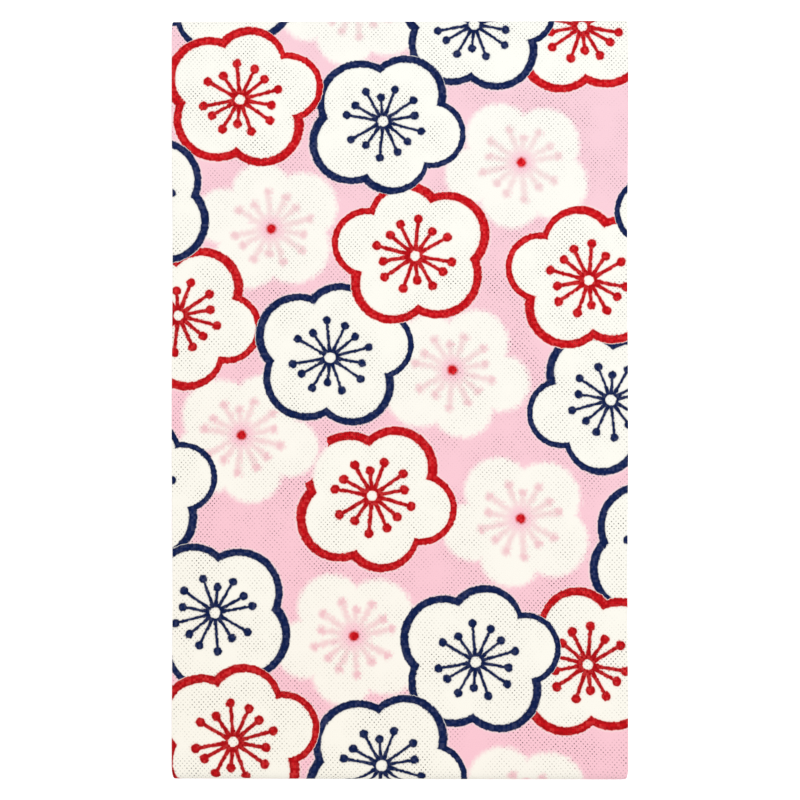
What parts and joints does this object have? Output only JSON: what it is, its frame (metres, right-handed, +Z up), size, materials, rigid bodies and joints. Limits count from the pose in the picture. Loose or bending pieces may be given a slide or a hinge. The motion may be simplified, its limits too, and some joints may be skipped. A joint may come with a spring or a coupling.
{
  "type": "folded tenugui towel",
  "caption": "Thin cotton hand towel with a plum-blossom print, folded flat into a slim rectangular packet of layers that lies on a shelf or table.",
  "frame": {"origin": "centre of the folded towel's footprint, on the surface that it lies on", "axes": "+X across the folded towel, +Y along it towards the top of the print, +Z up out of the printed front"},
  "size_m": [0.091, 0.152, 0.0102],
  "materials": {
    "printed_cotton": "matt plain-weave cotton sheeting, printed on one side with a plum-blossom scatter in red, navy and ivory on pink"
  },
  "bodies": {
    "root": {"towel": "printed_cotton"}
  },
  "joints": []
}
